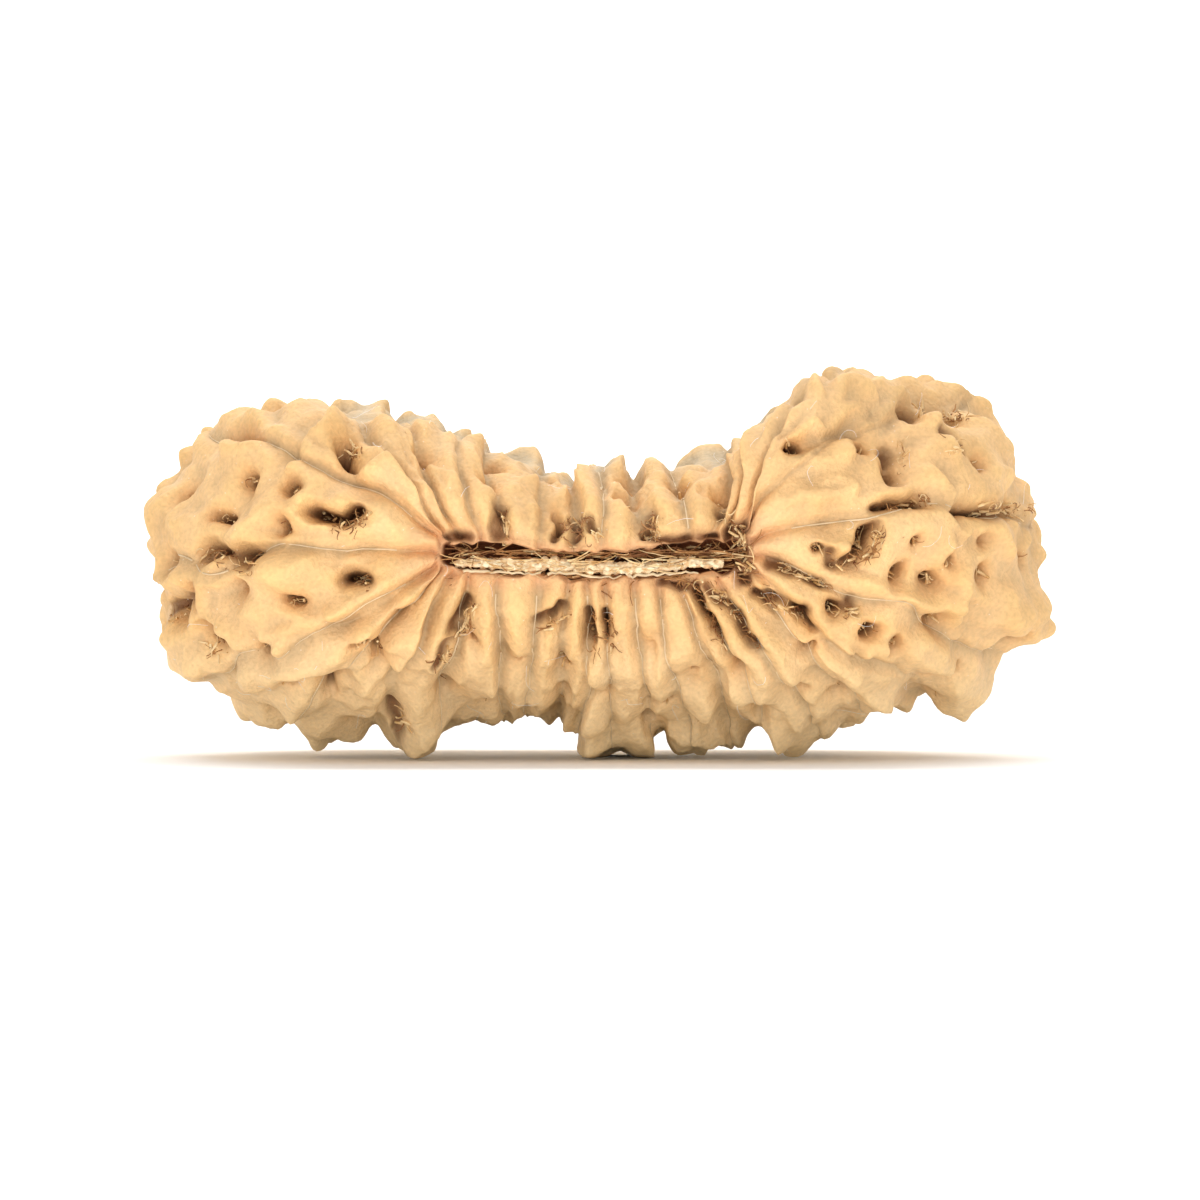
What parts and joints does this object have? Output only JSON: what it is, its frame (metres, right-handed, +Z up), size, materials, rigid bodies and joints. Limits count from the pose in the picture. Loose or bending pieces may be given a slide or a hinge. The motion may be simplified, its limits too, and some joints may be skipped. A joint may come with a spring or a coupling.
{
  "type": "rudraksha bead",
  "caption": "Dry rudraksha bead: a bean-shaped, furrowed and pitted woody fruit stone with a slit at each pole, lying on its broad side.",
  "frame": {"origin": "on the surface it lies on, under the middle of its outline", "axes": "+X along the bead's length and its two slits, -Y out of the front slit, +Z up"},
  "size_m": [0.038, 0.0214, 0.0166],
  "materials": {
    "bead_wood": "dry, unoiled pale wood, matt with a faint sheen on the ridges"
  },
  "bodies": {
    "root": {"rudraksha_bead": "bead_wood"}
  },
  "joints": []
}
